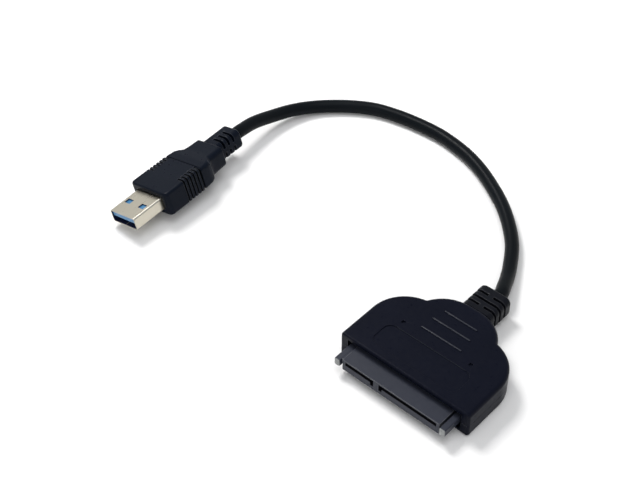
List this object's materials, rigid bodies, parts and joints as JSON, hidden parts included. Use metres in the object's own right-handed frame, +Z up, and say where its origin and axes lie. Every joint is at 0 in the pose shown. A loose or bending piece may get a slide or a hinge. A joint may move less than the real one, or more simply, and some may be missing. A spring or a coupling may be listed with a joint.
{
  "type": "usb to sata adapter",
  "caption": "Short cable adapter with a flat metal-shelled plug at one end and a wide drive connector in a slim rounded black housing at the other, for one 2.5 inch drive.",
  "frame": {"origin": "on the surface that the object lies on, below the middle of the drive end's own bounding box, without the cable and the plug", "axes": "+X to the right as the drive connector is seen from its front, +Y from the connector's mouth back along the housing to the cable, +Z up; the connector faces -Y"},
  "size_m": [0.1437, 0.1076, 0.0131],
  "materials": {
    "housing": "satin moulded black",
    "connector": "satin moulded dark grey",
    "contact": "bright plated",
    "board": "green lacquer",
    "chip": "dull moulded black",
    "crystal_can": "satin metal",
    "ferrite": "dull dark grey",
    "capacitor": "dull tan with tinned ends",
    "sleeve": "satin black",
    "jacket": "smooth satin black",
    "moulding": "satin black, soft to the touch",
    "shell": "bright nickel plate",
    "insulator": "smooth blue",
    "wire_power": "smooth insulation",
    "wire_data_minus": "smooth insulation",
    "wire_data_plus": "smooth insulation",
    "wire_ground": "smooth insulation",
    "wire_send_minus": "smooth insulation",
    "wire_send_plus": "smooth insulation",
    "wire_receive_minus": "smooth insulation",
    "wire_receive_plus": "smooth insulation"
  },
  "bodies": {
    "root": {"housing_top": "housing", "housing_bottom": "housing", "sata_connector_body": "connector", "signal_contact_1": "contact", "signal_contact_2": "contact", "signal_contact_3": "contact", "signal_contact_4": "contact", "signal_contact_5": "contact", "signal_contact_6": "contact", "signal_contact_7": "contact", "power_contact_1": "contact", "power_contact_2": "contact", "power_contact_3": "contact", "power_contact_4": "contact", "power_contact_5": "contact", "power_contact_6": "contact", "power_contact_7": "contact", "power_contact_8": "contact", "power_contact_9": "contact", "power_contact_10": "contact", "power_contact_11": "contact", "power_contact_12": "contact", "power_contact_13": "contact", "power_contact_14": "contact", "power_contact_15": "contact", "plug_contact_1": "contact", "plug_contact_2": "contact", "plug_contact_3": "contact", "plug_contact_4": "contact", "plug_rear_contact_1": "contact", "plug_rear_contact_2": "contact", "plug_rear_contact_3": "contact", "plug_rear_contact_4": "contact", "plug_rear_contact_5": "contact", "circuit_board": "board", "bridge_chip": "chip", "regulator": "chip", "crystal": "crystal_can", "inductor": "ferrite", "capacitor_1": "capacitor", "capacitor_2": "capacitor", "capacitor_3": "capacitor", "strain_relief": "sleeve", "cable": "jacket", "plug_moulding": "moulding", "plug_shell": "shell", "plug_tongue": "insulator", "wire_power": "wire_power", "wire_data_minus": "wire_data_minus", "wire_data_plus": "wire_data_plus", "wire_ground": "wire_ground", "wire_send_minus": "wire_send_minus", "wire_send_plus": "wire_send_plus", "wire_receive_minus": "wire_receive_minus", "wire_receive_plus": "wire_receive_plus"}
  },
  "joints": []
}
